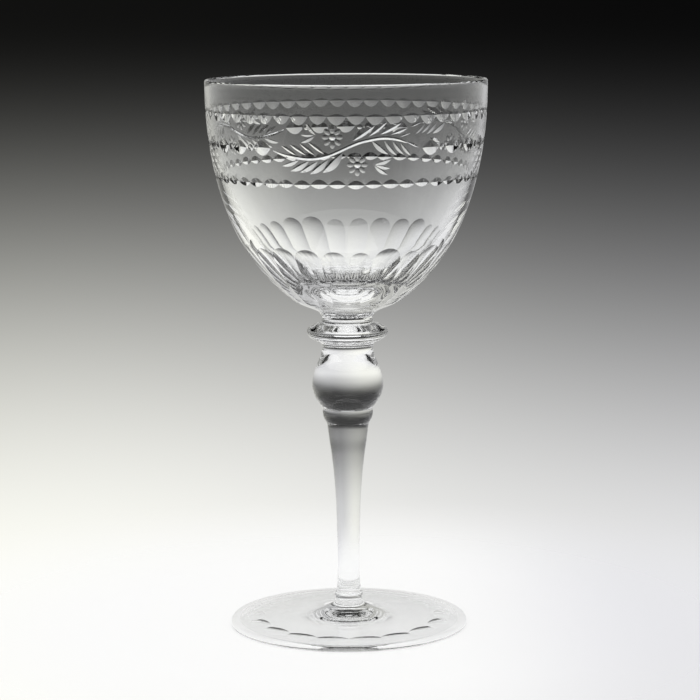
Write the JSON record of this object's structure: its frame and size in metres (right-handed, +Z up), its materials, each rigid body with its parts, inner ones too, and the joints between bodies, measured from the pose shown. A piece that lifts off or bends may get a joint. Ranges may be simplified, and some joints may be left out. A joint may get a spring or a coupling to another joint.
{
  "type": "goblet",
  "caption": "Stemmed goblet of clear cut crystal, with a rounded bowl ringed by olive cuts and flutes, a merese, a baluster knop, a tapering stem and a wide cut foot.",
  "frame": {"origin": "centre of the foot's underside, on the surface that the goblet stands on", "axes": "+Z up along the goblet's axis; -Y faces the picture's viewer, with +X to the right"},
  "size_m": [0.0904, 0.0904, 0.178],
  "materials": {
    "cut_crystal": "clear crystal, wheel-cut and polished",
    "plain_crystal": "clear crystal, fire-polished"
  },
  "bodies": {
    "root": {"bowl": "cut_crystal", "merese": "plain_crystal", "knop": "plain_crystal", "bead": "plain_crystal", "stem": "plain_crystal", "collar": "plain_crystal", "foot": "cut_crystal"}
  },
  "joints": []
}
